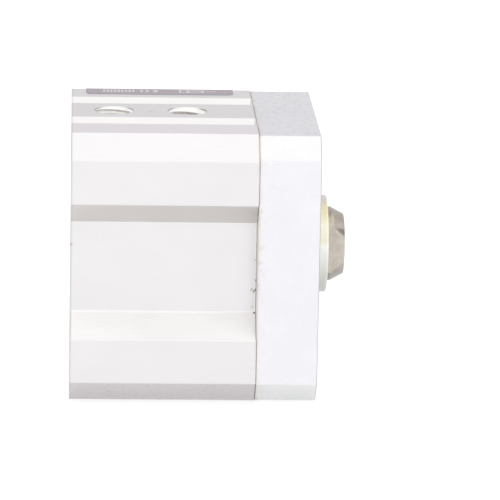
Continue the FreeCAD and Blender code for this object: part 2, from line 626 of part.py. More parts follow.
def make_rod():
    """Rod with its nose, wrench flats and threads, and the screw that holds the piston on it."""
    body = new_body("piston_rod")
    thread = "(rod_thread / 2)"
    rear_floor = f"({ROD_REAR} + screw_reach + screw_spare)"
    front_floor = f"({ROD_TIP} - rod_thread_depth)"
    turned(body, [
        (rear_floor, "0"), (rear_floor, thread), (ROD_REAR, thread), (ROD_REAR, "rod_spigot / 2"),
        (PISTON_FRONT, "rod_spigot / 2"), (PISTON_FRONT, "rod / 2"),
        (f"{ROD_TIP} - nose_length", "rod / 2"), (ROD_TIP, "rod_tip / 2"),
        (ROD_TIP, f"{thread} + rod_sink"), (f"{ROD_TIP} - rod_sink", thread),
        (front_floor, thread), (front_floor, "0"),
    ])
    rim = number("rod_tip / 2")
    end_face = number(ROD_TIP)
    dress(body, "Fillet", "tip_round",
          lambda edge: lies_at(edge, end_face) and abs(edge.Curve.Radius - rim) < SAME)
    flat = new_sketch(body, "XY_Plane")
    shoulder = f"({ROD_TIP} - flat_length)"
    polygon(flat, [
        (shoulder, "flat_width / 2"), (ROD_TIP, "flat_width / 2"), (ROD_TIP, "rod"), (shoulder, "rod"),
    ])
    mirrored(body, feature(body, "Pocket", flat, Type="ThroughAll", SideType="Symmetric"))

    screw = new_body("piston_screw")
    head_rear = f"({PISTON_REAR} + stop_gap)"
    shank = f"({thread} - static_gap)"
    turned(screw, [
        (head_rear, "0"), (head_rear, "screw_head / 2 - stop_gap - static_gap"),
        (f"{head_rear} + screw_head / 2 - stop_gap - static_gap - {shank}", shank),
        (f"{ROD_REAR} + screw_reach", shank), (f"{ROD_REAR} + screw_reach", "0"),
    ])
    socket = new_sketch(screw, "YZ_Plane", head_rear)
    hexagon(socket, "0", "0", "screw_hex")
    feature(screw, "Pocket", socket, Length="screw_hex_depth", Reversed=True)


def make_label():
    """Blank label that folds from the top face over the rear chamfer."""
    body = new_body("label")
    fold = "(side / 2 - edge_chamfer)"
    slope = "label_wrap / sqrt(2)"
    lift = "label_thickness / sqrt(2)"
    inside = (fold, "side / 2")
    outside = (f"{fold} + label_thickness * tan(22.5)", "side / 2 + label_thickness")
    sketch = new_sketch(body, "YZ_Plane", "label_start")
    polygon(sketch, [
        ("label_front", "side / 2"), inside, (f"{fold} + {slope}", f"side / 2 - {slope}"),
        (f"{fold} + {slope} + {lift}", f"side / 2 - {slope} + {lift}"),
        outside, ("label_front", "side / 2 + label_thickness"),
    ])
    feature(body, "Pad", sketch, Length="label_length")
    for (across, up), size in ((inside, "edge_round"), (outside, "edge_round + label_thickness")):
        corner = (number(across), number(up))
        dress(body, "Fillet", size, lambda edge: passes(edge, *corner))
    thickness = number("label_thickness")
    dress(body, "Fillet", "label_round", lambda edge: abs(edge.Length - thickness) < SAME)


make_barrel()
make_front_head()
make_head_screws()
make_rod_gland()
make_rear_cover()
make_rear_circlip()
make_bumpers()
make_piston()
make_rod()
make_label()
ring_seal("head_ring_seal", f"{HEAD_REAR} - head_gland_place - head_gland_width / 2",
          f"({BORE} - head_gland_depth)", "head_gland_depth")
ring_seal("cover_ring_seal", f"{COVER_REAR} + cover_gland_place + cover_gland_width / 2",
          f"({BORE} - cover_gland_depth)", "cover_gland_depth")
ring_seal("rod_ring_seal", f"{HUB_FRONT} - ring_section / 2",
          "(rod_spigot / 2 + static_gap)", "ring_section")
doc.recompute()

for item in doc.Objects:
    if "Invalid" in item.State or "Error" in item.State:
        raise RuntimeError(f"{item.Label} failed: {item.State}")

sub_parts = [item for item in doc.Objects if item.TypeId == "PartDesign::Body"]
for item in sub_parts:
    if item.Shape.isNull() or not item.Shape.isValid():
        raise RuntimeError(f"{item.Label} has no valid shape")

os.makedirs("parts", exist_ok=True)
for item in sub_parts:
    item.Shape.exportStep(f"parts/{item.Label}.step")
    print(f"{item.Label}: {len(item.Shape.Solids)} solid, {item.Shape.Volume:.1f} cubic millimetres")
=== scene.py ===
import json
from math import cos, radians, sin, tau

import bmesh
import bpy
from mathutils import Matrix, Vector


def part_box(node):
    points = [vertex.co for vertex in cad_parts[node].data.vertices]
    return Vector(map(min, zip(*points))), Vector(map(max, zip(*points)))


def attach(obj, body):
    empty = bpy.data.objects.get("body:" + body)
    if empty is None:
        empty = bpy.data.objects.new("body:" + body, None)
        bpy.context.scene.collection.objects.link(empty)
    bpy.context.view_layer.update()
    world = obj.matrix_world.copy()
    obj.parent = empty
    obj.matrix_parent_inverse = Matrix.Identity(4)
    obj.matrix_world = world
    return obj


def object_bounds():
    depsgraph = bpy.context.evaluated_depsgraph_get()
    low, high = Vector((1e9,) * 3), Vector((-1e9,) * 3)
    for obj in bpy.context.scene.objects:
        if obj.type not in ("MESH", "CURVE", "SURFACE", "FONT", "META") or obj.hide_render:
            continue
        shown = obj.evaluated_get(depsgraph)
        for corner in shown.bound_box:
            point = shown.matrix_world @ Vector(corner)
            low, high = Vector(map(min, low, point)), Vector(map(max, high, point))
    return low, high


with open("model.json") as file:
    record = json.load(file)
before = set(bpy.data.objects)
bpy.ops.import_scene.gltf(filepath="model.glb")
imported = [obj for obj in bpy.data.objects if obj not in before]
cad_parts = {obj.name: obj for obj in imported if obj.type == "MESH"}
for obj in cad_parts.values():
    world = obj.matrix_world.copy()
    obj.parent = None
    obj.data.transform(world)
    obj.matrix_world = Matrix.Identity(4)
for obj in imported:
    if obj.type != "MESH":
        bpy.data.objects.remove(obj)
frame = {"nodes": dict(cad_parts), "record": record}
cad_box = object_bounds()

# The looks of a compact pneumatic cylinder. X runs along the rod and Z points up. Places in the model are in
# metres, while the sizes and limits that a finish takes are in millimetres.
MM = 0.001

# Places that several pieces share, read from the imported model
BARREL_LOW, BARREL_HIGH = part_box("barrel")
LABEL_LOW, LABEL_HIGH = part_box("label")
HEAD_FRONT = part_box("front_head")[1].x
ROD_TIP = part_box("piston_rod")[1].x
WIPER_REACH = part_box("rod_wiper")[1].z
MOUNTS = {mount["name"]: mount for mount in frame["record"]["mounts"]}
CORNER = MOUNTS["rear_threads"]["dims"]["spacing_x_mm"] / 2 * MM

# Range in which noise varies, and the shape of a ragged spot as shares of its size
NOISE = (0.3, 0.7)
SPOT_GRAIN = 0.5
SPOT_RAG = 0.4
SPOT_EDGE = (0.6, 1.1)

# Limits of slopes, as the part of a face's normal along one axis
END_FACE = (0.75, 0.95)
END_BREAK = (0.4, 0.6)
LOOKS_UP = (0.55, 0.68)
LOOKS_DOWN = (-0.25, -0.45)


class Finish:
    """Procedural material of one slot, patterned in the piece's own frame."""

    def __init__(self, slot, **sockets):
        self.material = bpy.data.materials.new(slot)
        self.material.use_nodes = True
        self.tree = self.material.node_tree
        self.shader = self.tree.nodes["Principled BSDF"]
        place = self.tree.nodes.new("ShaderNodeTexCoord")
        self.point = place.outputs["Object"]
        self.facing = place.outputs["Normal"]
        self.set(**sockets)

    def set(self, **sockets):
        """Set or link shader sockets, named with underscores for spaces."""
        for name, value in sockets.items():
            self.plug(self.shader.inputs[name.replace("_", " ")], value)

    def plug(self, socket, value):
        if isinstance(value, bpy.types.NodeSocket):
            self.tree.links.new(value, socket)
        else:
            socket.default_value = value

    def node(self, kind, inputs, output=0, **settings):
        """Add a node, set and link its inputs by key, and give one of its outputs."""
        node = self.tree.nodes.new(f"ShaderNode{kind}")
        for name, value in settings.items():
            setattr(node, name, value)
        for key, value in inputs.items():
            self.plug(node.inputs[key], value)
        return node.outputs[output]

    def at(self, axis):
        """Coordinate of the shaded point, in metres."""
        return self.node("SeparateXYZ", {0: self.point}, output="XYZ".index(axis))

    def faces(self, axis):
        """How far the surface looks along an axis, from -1 to 1."""
        return self.node("SeparateXYZ", {0: self.facing}, output="XYZ".index(axis))

    def math(self, operation, *values):
        return self.node("Math", dict(enumerate(values)), operation=operation)

    def size_of(self, value):
        return self.math("ABSOLUTE", value)

    def past(self, place):
        """Distance past a plane across the rod, in metres."""
        return self.math("SUBTRACT", self.at("X"), place)

    def plus(self, first, second):
        return self.math("ADD", first, second)

    def times(self, *shares):
        """Product of several shares."""
        product = shares[0]
        for share in shares[1:]:
            product = self.math("MULTIPLY", product, share)
        return product

    def rest_of(self, share):
        return self.math("SUBTRACT", 1.0, share)

    def noise(self, size, stretch=(1, 1, 1), detail=3.0, roughness=0.55):
        """Noise with blotches of a size in millimetres, drawn out by a factor along each axis."""
        scale = tuple(1 / (size * MM * factor) for factor in stretch)
        place = self.node("Mapping", {"Vector": self.point, "Scale": scale})
        return self.node("TexNoise", {"Vector": place, "Scale": 1.0, "Detail": detail, "Roughness": roughness})

    def rise(self, value, low, high, full=1.0):
        """0 before the first limit, the full share past the second, smooth between them, either way round."""
        limits = {"Value": value, "From Min": low, "From Max": high, "To Max": full}
        return self.node("MapRange", limits, interpolation_type="SMOOTHSTEP")

    def over(self, value, low, high, full=1.0):
        """The same as rise, with limits in millimetres."""
        return self.rise(value, low * MM, high * MM, full)

    def band(self, value, start, whole, fading, gone, full=1.0):
        """The full share between the two middle limits, and 0 before the first and past the last."""
        return self.times(self.rise(value, start, whole, full), self.rise(value, gone, fading))

    def within(self, value, low, high, soft):
        """1 between two limits in millimetres and 0 outside them, with soft edges."""
        return self.times(self.over(value, low - soft, low + soft), self.over(value, high + soft, high - soft))

    def spread(self, value, low, high, to_low, to_high):
        """Straight change from one range to another."""
        limits = {"Value": value, "From Min": low, "From Max": high, "To Min": to_low, "To Max": to_high}
        return self.node("MapRange", limits)

    def vary(self, noise, low, high):
        """Noise taken to another range."""
        return self.spread(noise, *NOISE, low, high)

    def about(self, noise, mean, swing):
        """Noise that swings to both sides of a mean."""
        return self.vary(noise, mean - swing, mean + swing)

    def blend(self, share, first, second, kind="MIX"):
        colours = {0: share, 6: first, 7: second}
        return self.node("Mix", colours, output=2, data_type="RGBA", blend_type=kind)

    def ramp(self, value, stops):
        """Colours along a value, as pairs of place and colour."""
        node = self.tree.nodes.new("ShaderNodeValToRGB")
        points = node.color_ramp.elements
        for place, _ in stops[2:]:
            points.new(place)
        for point, (place, colour) in zip(points, stops):
            point.position = place
            point.color = colour
        self.plug(node.inputs[0], value)
        return node.outputs[0]

    def spot(self, centre, size):
        """1 inside a ragged spot, 0 outside it, with the centre and size in millimetres."""
        place = tuple(value * MM for value in centre)
        away = self.node("VectorMath", {0: self.point, 1: place}, output="Value", operation="DISTANCE")
        rag = SPOT_RAG * size * MM
        edge = self.vary(self.noise(SPOT_GRAIN * size), rag, -rag)
        limits = [share * size for share in SPOT_EDGE]
        return self.rest_of(self.over(self.plus(away, edge), *limits))

    def marked(self, colour, marks, tone):
        """Colour with spots of a tone, each with its place, its size and how strong it is."""
        for place, size, strength in marks:
            colour = self.blend(self.times(self.spot(place, size), strength), colour, tone)
        return colour

    def radius(self, across=0.0):
        """Distance in metres from the rod's axis, or from the nearest of four axes across from it."""
        y = self.at("Y")
        z = self.at("Z")
        if across:
            y = self.math("SUBTRACT", self.size_of(y), across)
            z = self.math("SUBTRACT", self.size_of(z), across)
        return self.math("SQRT", self.plus(self.math("POWER", y, 2), self.math("POWER", z, 2)))

    def ripple(self, value, pitch):
        """Fine even wave along a value, from 0 to 1, with the pitch in millimetres."""
        return self.spread(self.math("SINE", self.times(value, tau / (pitch * MM))), -1, 1, 0, 1)

    def relief(self, height, depth, strength):
        """Bump of a depth in millimetres."""
        bump = {"Height": height, "Distance": depth * MM, "Strength": strength}
        self.set(Normal=self.node("Bump", bump))

    def by_slope(self, colour, shades):
        """Colour multiplied by painted light and shade, from faces that look down, at 0, over upright ones to
        the top, at 1.
        """
        slope = self.spread(self.faces("Z"), -1, 1, 0, 1)
        return self.blend(1.0, colour, self.ramp(slope, shades), "MULTIPLY")

    def end_face(self):
        """1 on faces across the rod and 0 on all others."""
        return self.rise(self.size_of(self.faces("X")), *END_FACE)

    def end_break(self):
        """1 on faces that slant to the rod, such as broken edges of the ends."""
        slant = self.rise(self.size_of(self.faces("X")), *END_BREAK)
        return self.times(slant, self.rest_of(self.end_face()))

    def soiled(self, side, level):
        """One share of dirt on upright faces, another on those that look up or down."""
        slope = self.faces("Z")
        share = self.math("MAXIMUM", self.rise(slope, *LOOKS_UP), self.rise(slope, *LOOKS_DOWN))
        return self.spread(share, 0, 1, side, level)


def grey(level, tint=(0, 0, 0)):
    """Linear grey with a small share of a tint added."""
    return tuple(level * (1 + share) for share in tint) + (1,)


# Finishes

WARM = (0.04, 0, -0.04)
MAUVE = (0.02, 0, 0.01)
COOL = (0.012, 0, 0.042)
BRONZE = (0.35, 0, -0.4)
BOUNCE = (0.015, 0, -0.042)
NEUTRAL = (-0.015, 0, -0.035)
ASH = (0.0, 0.01, 0.09)
IVORY = (0, 0.008, -0.025)
# Red-brown tint of the painted shade on the top of the rod
RED_BROWN_SHADE = (0.05, 0, -0.03)
PALE = (0, 0.006, -0.006)
ROSE = (0.02, -0.02, 0.02)

# Tones of painted light and shade, dirt and wear
RELIEF_TONE = grey(0.95)
LEDGE_TONE = grey(0.97)
CORNER_TONE = grey(1.0)
GRIME = grey(0.2, WARM)
SHADOW = grey(0.3, WARM)
EDGE = grey(0.3)
SCUFF = grey(0.4, MAUVE)
KNOCK = grey(0.3, MAUVE)
FAR_EDGE = grey(0.35, WARM)
OIL = (0.45, 0.37, 0.28, 1)
PIT = (0.13, 0.08, 0.06, 1)

# Tints that colours are multiplied by; the strip tint is painted light on the front strip of the top
STRIP_TINT = (1.071, 1.053, 1.08, 1)
JOINT_TINT = (1.0, 0.99, 0.972, 1)
FLARE_TINT = (0.994, 1.0, 0.978, 1)
HALO_TINT = (0.973, 0.955, 0.90, 1)

# Painted light and shade by slope: relief flanks, chamfers, upright faces, rounded edges and the top
BARREL_SHADES = [
    (0.132, grey(0.913, BOUNCE)), (0.142, grey(0.781, MAUVE)), (0.30, grey(0.95)), (0.48, grey(0.925)),
    (0.52, grey(0.925)), (0.62, grey(0.90)), (0.80, grey(0.93)), (0.853, grey(0.92)),
    (0.876, grey(1.145, PALE)), (0.96, grey(0.977)), (0.99, grey(0.843, MAUVE)),
]
HEAD_SHADES = [
    (0.146, grey(0.965, NEUTRAL)), (0.30, grey(1.0)), (0.48, grey(0.965)), (0.52, grey(0.965)),
    (0.65, grey(0.90)), (0.80, grey(0.915)), (0.853, grey(0.97, IVORY)), (0.96, grey(0.963)),
    (0.99, grey(0.90)),
]
ROD_SHADES = [
    (0.05, grey(0.55)), (0.22, grey(0.77, ASH)), (0.33, grey(0.98)), (0.53, grey(1.0)), (0.62, grey(0.95)),
    (0.85, grey(0.92, ROSE)), (0.97, grey(0.70, RED_BROWN_SHADE)),
]

# Dirt and pits on the barrel: place and size in millimetres, and how strong they are
BARREL_MARKS = [
    ((23.8, -14.4, -3.05), 0.14, 0.42), ((23.95, -14.4, -2.9), 0.14, 0.42),
    ((24.16, -14.4, -3.3), 0.14, 0.55), ((24.28, -14.4, -3.15), 0.16, 0.7),
    ((24.4, -14.4, -2.97), 0.14, 0.6), ((24.47, -14.4, -1.75), 0.17, 0.65),
    ((24.3, -14.4, 1.0), 0.12, 0.45), ((24.5, -14.4, 2.7), 0.1, 0.35),
    ((24.0, -14.4, -5.3), 0.2, 0.22), ((24.3, -14.55, -6.1), 0.18, 0.75),
    ((0.1, -14.4, 2.9), 0.22, 0.35), ((11.2, -14.4, -5.8), 0.07, 0.4),
    ((3.75, -15.8, -7.18), 0.09, 0.1), ((3.4, -14.4, 3.9), 0.07, 0.27),
    ((18.0, -14.4, 2.5), 0.08, 0.1), ((19.6, -14.4, 2.0), 0.07, 0.13),
    ((14.5, -18.0, 10.5), 0.07, 0.17), ((10.6, -0.4, 18.0), 0.5, 0.12),
    ((5.4, -14.4, -5.4), 0.07, 0.17), ((23.2, -14.4, -5.83), 0.07, 0.2),
    ((8.7, -14.4, 3.63), 0.07, 0.14),
]

# Knocks on top of the plate
HEAD_MARKS = [
    ((30.6, 13.2, 17.9), 0.34, 0.35), ((29.8, 13.1, 17.9), 0.24, 0.25), ((28.3, 12.0, 17.9), 0.25, 0.2),
    ((28.6, 1.5, 17.9), 0.28, 0.3), ((29.7, 0.5, 17.9), 0.24, 0.25), ((30.8, 5.0, 17.9), 0.26, 0.2),
]

# Limits on the barrel in millimetres, some with the share that holds past the second one.
# Out from the axis, up from it or to a side of it:
RELIEF_INSIDE = (16.3, 15.5)
RELIEF_MOUTH = (17.9, 17.6)
RELIEF_CORNER = (14.75, 14.6, 0.25)
FRONT_STRIP = (-7.5, -9)
PORT_SIDE = (2.8, 2.7, 0.7)
FLARE_HEIGHT = (16.6, 16.8)
FLARE_SIDE = (9.4, 9.2)
# Back from the head:
HEAD_GLOW = (-5, -1, 0.07)
HEAD_EDGE_GLOW = (-0.32, -0.12, 0.45)
LEDGE_GLOW = (-16, -1, 0.3)
JOINT_GRIME = (-0.8, 0)
JOINT_BREAK = (-0.2, -0.1)
JOINT_TINTED = (-0.45, -0.05)
PORT_ROW = (-23.5, -1.0, 0.1)
FLARE_END = (-0.28, -0.08, 0.4)
# Below the top, and on from the rear end:
PORT_RIM = (-0.4, -0.35)
REAR_EDGE = (0.34, 0.1, 0.26)

# Slopes on the barrel: lower flanks, faces that look up, the top, slot flares and bottom chamfers
LEDGE_SLOPES = (0.72, 0.745, 0.8, 0.85)
UPWARD_SLOPES = (0.05, 0.3)
TOP_SLOPES = (0.97, 0.99)
FLARE_SLOPES = (0.5, 0.6)
CHAMFER_SLOPES = (-0.74, -0.72, -0.7, -0.5, 0.3)

# Patterns on the barrel: limits of noise and shares
GRIME_SPREAD = (0.45, 0.7, 0, 0.06)
JOINT_DIRT = (0.0, 0.45)
HANDLED = (0.46, 0.66)
SAW_MARKS = (0.4, 0.62)
SAW_TONE = 0.86
LINE_TONE = 0.8
LINE_SHARE = 0.05
BARREL_SWING = 0.06
LEDGE_MATTE = 0.45


class BarrelFinish(Finish):
    """Finish of the barrel, with the places on it that take light, dirt and wear."""

    def __init__(self, slot, **sockets):
        super().__init__(slot, **sockets)
        self.along = self.past(BARREL_HIGH.x)
        self.aside = self.size_of(self.at("Y"))
        self.height = self.at("Z")
        self.reach = self.math("MAXIMUM", self.aside, self.size_of(self.height))
        self.slope = self.faces("Z")
        self.inside = self.over(self.reach, *RELIEF_INSIDE)
        self.ledge = self.band(self.slope, *LEDGE_SLOPES)
        self.end = self.end_face()
        self.broken = self.end_break()

    def lit(self, colour):
        """Colour with painted light in the reliefs, in their corners, on their lower flanks and on the front
        strip of the top.
        """
        glow = self.plus(self.over(self.along, *HEAD_GLOW), self.over(self.along, *HEAD_EDGE_GLOW))
        colour = self.blend(self.times(self.inside, glow), colour, RELIEF_TONE)
        ledge_glow = self.times(self.over(self.reach, *RELIEF_MOUTH), self.over(self.along, *LEDGE_GLOW))
        colour = self.blend(self.times(self.ledge, ledge_glow), colour, LEDGE_TONE)
        corner = self.times(self.rise(self.slope, *UPWARD_SLOPES), self.over(self.reach, *RELIEF_CORNER))
        colour = self.blend(corner, colour, CORNER_TONE)
        strip = self.times(self.rise(self.slope, *TOP_SLOPES), self.over(self.at("Y"), *FRONT_STRIP))
        return self.blend(strip, colour, STRIP_TINT, "MULTIPLY")

    def grimy(self, colour):
        """Colour with grime where the barrel meets the head."""
        grime = self.spread(self.noise(0.6, detail=4), *GRIME_SPREAD)
        colour = self.blend(self.times(self.over(self.along, *JOINT_GRIME), grime), colour, GRIME)
        edge = self.times(self.broken, self.rest_of(self.inside), self.over(self.along, *JOINT_BREAK))
        colour = self.blend(self.times(edge, self.soiled(*JOINT_DIRT)), colour, GRIME)
        return self.blend(self.over(self.along, *JOINT_TINTED), colour, JOINT_TINT, "MULTIPLY")

    def shaded_and_scuffed(self, colour):
        """Colour with painted shade on the port rims, along the rear edge and at the slot ends, a tint on the
        slot flares, and scuffs on the bottom chamfers.
        """
        below_top = self.math("SUBTRACT", self.height, BARREL_HIGH.z)
        ports = self.times(self.over(self.aside, *PORT_SIDE), self.within(self.along, *PORT_ROW))
        rims = self.times(self.broken, ports, self.over(below_top, *PORT_RIM))
        colour = self.blend(rims, colour, SHADOW)
        rear_edge = self.times(self.over(self.past(BARREL_LOW.x), *REAR_EDGE), self.rest_of(self.end))
        colour = self.blend(rear_edge, colour, EDGE)
        flares = self.times(self.over(self.height, *FLARE_HEIGHT), self.over(self.aside, *FLARE_SIDE),
                            self.rise(self.size_of(self.faces("Y")), *FLARE_SLOPES))
        colour = self.blend(flares, colour, FLARE_TINT, "MULTIPLY")
        colour = self.blend(self.times(flares, self.over(self.along, *FLARE_END)), colour, SHADOW)
        handled = self.noise(0.24, stretch=(2.2, 1, 1), detail=4, roughness=0.7)
        scuffs = self.times(self.rise(handled, *HANDLED), self.band(self.slope, *CHAMFER_SLOPES))
        return self.blend(scuffs, colour, SCUFF)


def drawn_aluminium(slot, light, dark, roughness):
    """Satin anodised metal with draw lines along X, sawn ends, pits, grime at the head joint, and painted light
    and shade by slope, in the reliefs, at the port rims and at the slot ends.
    """
    finish = BarrelFinish(slot, Metallic=1.0)
    lines = finish.noise(0.12, stretch=(60, 1, 1), detail=4)
    grain = finish.noise(0.16, detail=2)
    clouds = finish.noise(7, stretch=(1.6, 1, 1))
    saw = finish.noise(0.25, stretch=(1, 1, 22))
    colour = finish.blend(finish.rise(clouds, *NOISE), grey(dark, MAUVE), grey(light, MAUVE))
    colour = finish.blend(finish.vary(lines, 0, LINE_SHARE), colour, grey(dark * LINE_TONE, MAUVE))
    sawn = finish.times(finish.end, finish.rise(saw, *SAW_MARKS))
    colour = finish.blend(sawn, colour, grey(dark * SAW_TONE))
    colour = finish.by_slope(colour, BARREL_SHADES)
    colour = finish.shaded_and_scuffed(finish.grimy(finish.lit(colour)))
    finish.set(Base_Color=finish.marked(colour, BARREL_MARKS, PIT))
    texture = finish.plus(finish.times(lines, 0.5), finish.times(grain, 0.5))
    matte = finish.times(finish.ledge, LEDGE_MATTE)
    finish.set(Roughness=finish.plus(finish.about(texture, roughness, BARREL_SWING), matte))
    finish.relief(finish.plus(texture, finish.times(finish.end, saw)), 0.004, 0.5)
    return finish.material


# Limits on the plate in millimetres: on from the joint, and past the front face
STAIN_REACH = (1.3, 0, 0.25)
HALO_REACH = (0.46, 0.28)
BACK_EDGE = (0.2, 0.15)
RIM_EDGE = (-0.3, -0.2, 0.6)

# Slopes on the plate, limits of its noise, and shares of scuffs and dirt
PLATE_TOP = (0.75, 0.9)
FAR_SIDE = (0.03, 0.12, 0.35)
SCUFFED = (0.5, 0.66)
SCUFF_SHARES = (0.04, 0.24)
STAINED = (0.48, 0.68)
BACK_DIRT = (0.03, 0.4)
GRAIN_TONE = 0.8
GRAIN_SHARE = 0.10
PLATE_SWING = 0.05
MILL_SHARE = 0.25


def milled_aluminium(slot, light, dark, roughness):
    """Blasted and anodised plate, finely swirled on the faces across the rod and scuffed on top, with painted
    light and shade by slope and painted shade on the far edge of its top.
    """
    finish = Finish(slot, Metallic=1.0)
    grain = finish.noise(0.2, detail=4, roughness=0.65)
    clouds = finish.noise(4, detail=4)
    mill = finish.ripple(finish.plus(finish.radius(), finish.noise(6)), 0.35)
    colour = finish.blend(finish.rise(clouds, *NOISE), grey(dark, COOL), grey(light, COOL))
    colour = finish.blend(finish.vary(grain, 0, GRAIN_SHARE), colour, grey(dark * GRAIN_TONE, COOL))
    colour = finish.by_slope(colour, HEAD_SHADES)
    top = finish.rise(finish.faces("Z"), *PLATE_TOP)
    scuffs = finish.rise(finish.noise(0.6, stretch=(1, 2.4, 1), detail=5, roughness=0.7), *SCUFFED)
    colour = finish.blend(finish.times(scuffs, finish.spread(top, 0, 1, *SCUFF_SHARES)), colour, SCUFF)
    from_joint = finish.past(BARREL_HIGH.x)
    stain = finish.rise(finish.noise(1.3, detail=4), *STAINED)
    colour = finish.blend(finish.times(stain, finish.over(from_joint, *STAIN_REACH)), colour, OIL)
    colour = finish.blend(finish.over(from_joint, *HALO_REACH), colour, HALO_TINT, "MULTIPLY")
    broken = finish.end_break()
    colour = finish.blend(finish.times(broken, finish.over(finish.past(HEAD_FRONT), *RIM_EDGE)), colour, EDGE)
    back = finish.times(broken, finish.over(from_joint, *BACK_EDGE), finish.soiled(*BACK_DIRT))
    colour = finish.blend(back, colour, GRIME)
    # Painted shade on the far edge of the top
    colour = finish.blend(finish.times(top, finish.rise(finish.faces("Y"), *FAR_SIDE)), colour, FAR_EDGE)
    finish.set(Base_Color=finish.marked(colour, HEAD_MARKS, KNOCK))
    finish.set(Roughness=finish.about(grain, roughness, PLATE_SWING))
    swirl = finish.times(finish.end_face(), mill, MILL_SHARE)
    finish.relief(finish.plus(grain, swirl), 0.005, 0.5)
    return finish.material


WEAR = (0.35, 0.65)
WANDER = 0.2 * MM
RING_SHARE = 0.12
RING_TONE = 0.7
TURNED_SWING = 0.07


def turned_metal(slot, light, dark, roughness, tint=MAUVE, across=0.0, pitch=0.14):
    """Metal turned on a lathe, with rings about the rod's axis or about four axes across from it."""
    finish = Finish(slot, Metallic=1.0)
    wander = finish.times(finish.noise(2), WANDER)
    rings = finish.ripple(finish.plus(finish.radius(across), wander), pitch)
    wear = finish.noise(1.2, detail=5, roughness=0.65)
    colour = finish.blend(finish.rise(wear, *WEAR), grey(dark, tint), grey(light, tint))
    colour = finish.blend(finish.times(rings, RING_SHARE), colour, grey(dark * RING_TONE, tint))
    finish.set(Base_Color=colour, Roughness=finish.about(wear, roughness, TURNED_SWING))
    finish.relief(finish.plus(rings, finish.times(wear, 0.6)), 0.004, 0.6)
    return finish.material


FILM = (0.35, 0.7)
OILED_FLANK = (0.86, 0.835, 0.81, 1)
CLEAN_FLANK = (0.92, 0.90, 0.885, 1)


def tapped_aluminium():
    """Matte thread flanks, brownish with oil in places."""
    finish = Finish("tapped_aluminium", Metallic=0.6)
    film = finish.noise(0.5, detail=4)
    chatter = finish.noise(0.06, stretch=(1, 1, 4), detail=2)
    finish.set(Base_Color=finish.blend(finish.rise(film, *FILM), OILED_FLANK, CLEAN_FLANK))
    finish.set(Roughness=finish.vary(chatter, 0.5, 0.65))
    finish.relief(chatter, 0.004, 0.5)
    return finish.material


PHOSPHATE = [(0.3, grey(0.05, WARM)), (0.62, grey(0.09, WARM)), (0.75, grey(0.3, WARM))]
PHOSPHATE_ROUGH = (0.3, 0.75, 0.55, 0.32)


def spring_steel(slot):
    """Phosphated steel, worn brighter where it rubs."""
    finish = Finish(slot, Metallic=1.0)
    wear = finish.noise(0.9, detail=5, roughness=0.7)
    grain = finish.noise(0.1, detail=2)
    finish.set(Base_Color=finish.ramp(wear, PHOSPHATE), Roughness=finish.spread(wear, *PHOSPHATE_ROUGH))
    finish.relief(finish.plus(wear, grain), 0.006, 0.5)
    return finish.material


# Tones of the rod
ROD_DARK = (0.454, 0.411, 0.353, 1)
ROD_LIGHT = (0.549, 0.507, 0.446, 1)
ROD_SCRATCH = (0.3, 0.27, 0.25, 1)
DARK_REFLECTION = (0.17, 0.15, 0.137, 1)
GLINT = (0.70, 0.64, 0.58, 1)
WIPER_REFLECTION = (0.70, 0.62, 0.40, 1)

# Painted dark reflection, glint and yellow reflection on the near side of the rod's nose: how steep their edges
# run, limits in millimetres, and shares
SCRATCHED = (0.45, 0.7, 0, 0.25)
NEAR_SIDE = (-1.5, -2.5)
REFLECTION_FOOT_SLOPE, REFLECTION_FOOT = 0.84, (1.58, 1.98)
REFLECTION_TOP_SLOPE, REFLECTION_TOP = 0.29, (2.85, 2.42)
REFLECTION_LENGTH = (-1.7, -0.7, 0.76)
GLINT_SLOPE, GLINT_HEIGHT = 1.1, (1.13, 1.38, 0.1)
GLINT_LENGTH, GLINT_SHARE = (-1.25, -0.4, 0.15), 0.3
WIPER_REFLECTION_HEIGHT = (3.3, 4.5, 0.2)
WIPER_REFLECTION_LENGTH, WIPER_REFLECTION_SHARE = (-1.78, -1.48, 0.1), 0.7
FEED_SHARE = 0.4


